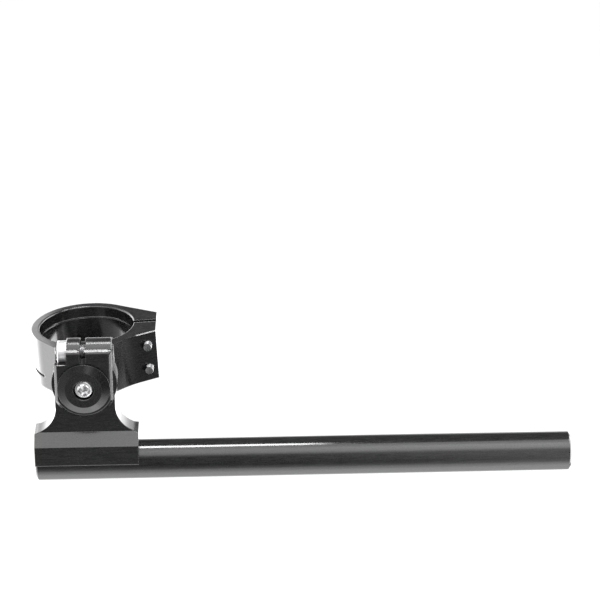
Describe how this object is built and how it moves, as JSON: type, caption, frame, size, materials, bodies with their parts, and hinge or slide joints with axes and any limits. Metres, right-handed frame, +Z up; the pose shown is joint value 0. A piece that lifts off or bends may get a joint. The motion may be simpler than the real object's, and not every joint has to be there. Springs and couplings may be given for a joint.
{
  "type": "adjustable clip-on handlebar",
  "caption": "Adjustable clip-on handlebar: a split fork clamp with a spigot, a bar mount that swivels on it under a pinch bolt, and a straight tubular bar.",
  "frame": {"origin": "centre of the fork bore at half the clamp's height", "axes": "+Z up along the fork bore, +X towards the free end of the bar, and the swivel axis along Y on the -Y side of the fork"},
  "size_m": [0.3006, 0.0898, 0.0983],
  "materials": {
    "clamp_black": "gloss black anodised",
    "mount_black": "gloss black anodised",
    "bar_black": "gloss black anodised",
    "cap_black": "satin black anodised",
    "screw_steel": "bright plated steel"
  },
  "bodies": {
    "fork_side": {"fork_clamp": "clamp_black", "fork_screw_upper": "screw_steel", "fork_screw_lower": "screw_steel", "pivot_cap": "cap_black", "pivot_screw": "screw_steel"},
    "bar_side": {"bar_mount": "mount_black", "collar_bolt": "screw_steel", "handlebar_tube": "bar_black", "bar_screw_inner": "screw_steel", "bar_screw_outer": "screw_steel"}
  },
  "joints": [
    {"name": "bar_swivel", "type": "hinge", "parent": "fork_side", "child": "bar_side", "pos_m": [0, -0.0459, 0], "axis": [0, 1, 0], "range_deg": [-20, 20]}
  ]
}
